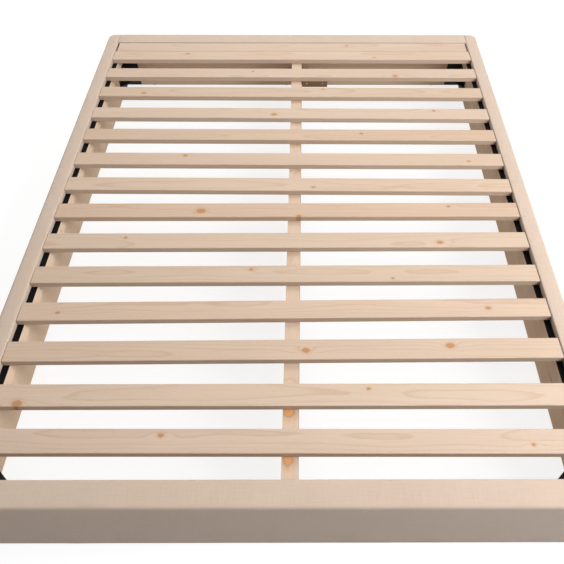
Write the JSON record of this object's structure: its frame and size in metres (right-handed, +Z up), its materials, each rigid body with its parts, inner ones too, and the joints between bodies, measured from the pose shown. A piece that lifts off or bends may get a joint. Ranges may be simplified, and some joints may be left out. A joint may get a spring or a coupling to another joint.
{
  "type": "slatted bed base",
  "caption": "Knock-down queen bed base: padded cloth-covered wooden rails, pine slats on side cleats, a centre rail on levelling feet and steel corner plates with leg sockets.",
  "frame": {"origin": "centre of the floor rectangle under the base", "axes": "X to the right, +Y to the head end, Z up, metres"},
  "size_m": [1.524, 2.032, 0.203],
  "materials": {
    "board_wood": "raw planed softwood",
    "slat_wood": "raw planed pine with knots",
    "block_wood": "raw hardwood offcut",
    "cover_cloth": "plain woven polyester, matt",
    "wadding": "white polyester wadding",
    "tape": "black hook-and-loop tape",
    "black_steel": "black powder coat",
    "zinc": "bright zinc plate",
    "black_plastic": "moulded polyethylene"
  },
  "bodies": {
    "frame": {"head_board": "board_wood", "foot_board": "board_wood", "left_board": "board_wood", "right_board": "board_wood", "head_wadding": "wadding", "foot_wadding": "wadding", "left_wadding": "wadding", "right_wadding": "wadding", "head_cover": "cover_cloth", "foot_cover": "cover_cloth", "left_cover": "cover_cloth", "right_cover": "cover_cloth", "left_cleat": "board_wood", "right_cleat": "board_wood", "left_tape": "tape", "right_tape": "tape", "left_slat_pads": "tape", "right_slat_pads": "tape", "slat_01": "slat_wood", "slat_02": "slat_wood", "slat_03": "slat_wood", "slat_04": "slat_wood", "slat_05": "slat_wood", "slat_06": "slat_wood", "slat_07": "slat_wood", "slat_08": "slat_wood", "slat_09": "slat_wood", "slat_10": "slat_wood", "slat_11": "slat_wood", "slat_12": "slat_wood", "slat_13": "slat_wood", "slat_14": "slat_wood", "head_slat": "slat_wood", "centre_rail": "slat_wood", "head_hanger": "black_steel", "foot_hanger": "black_steel", "head_block": "block_wood", "foot_block": "block_wood", "corner_plate_fl": "black_steel", "corner_plate_fr": "black_steel", "corner_plate_bl": "black_steel", "corner_plate_br": "black_steel", "plate_screws": "black_steel", "cleat_screws": "zinc", "hanger_screws": "zinc", "block_screws": "zinc", "glides": "black_plastic", "foot_nuts": "zinc"},
    "foot_1": {"foot_base_1": "black_plastic"},
    "stud_1": {"foot_stud_1": "zinc"},
    "foot_2": {"foot_base_2": "black_plastic"},
    "stud_2": {"foot_stud_2": "zinc"},
    "foot_3": {"foot_base_3": "black_plastic"},
    "stud_3": {"foot_stud_3": "zinc"}
  },
  "joints": [
    {"name": "foot_1_height", "type": "slide", "parent": "frame", "child": "foot_1", "axis": [0, 0, 1], "range_m": [-0.01, 0.015]},
    {"name": "stud_1_turn", "type": "hinge", "parent": "foot_1", "child": "stud_1", "pos_m": [0.019, -0.6, 0.05], "axis": [0, 0, 1], "range_deg": [-2401, 3601]},
    {"name": "foot_2_height", "type": "slide", "parent": "frame", "child": "foot_2", "axis": [0, 0, 1], "range_m": [-0.01, 0.015]},
    {"name": "stud_2_turn", "type": "hinge", "parent": "foot_2", "child": "stud_2", "pos_m": [0.019, 0, 0.05], "axis": [0, 0, 1], "range_deg": [-2401, 3601]},
    {"name": "foot_3_height", "type": "slide", "parent": "frame", "child": "foot_3", "axis": [0, 0, 1], "range_m": [-0.01, 0.015]},
    {"name": "stud_3_turn", "type": "hinge", "parent": "foot_3", "child": "stud_3", "pos_m": [0.019, 0.6, 0.05], "axis": [0, 0, 1], "range_deg": [-2401, 3601]}
  ],
  "couplings": [
    {"joint": "stud_1_turn", "follows": "foot_1_height", "rad_per_m": 4188.8},
    {"joint": "stud_2_turn", "follows": "foot_2_height", "rad_per_m": 4188.8},
    {"joint": "stud_3_turn", "follows": "foot_3_height", "rad_per_m": 4188.8}
  ]
}
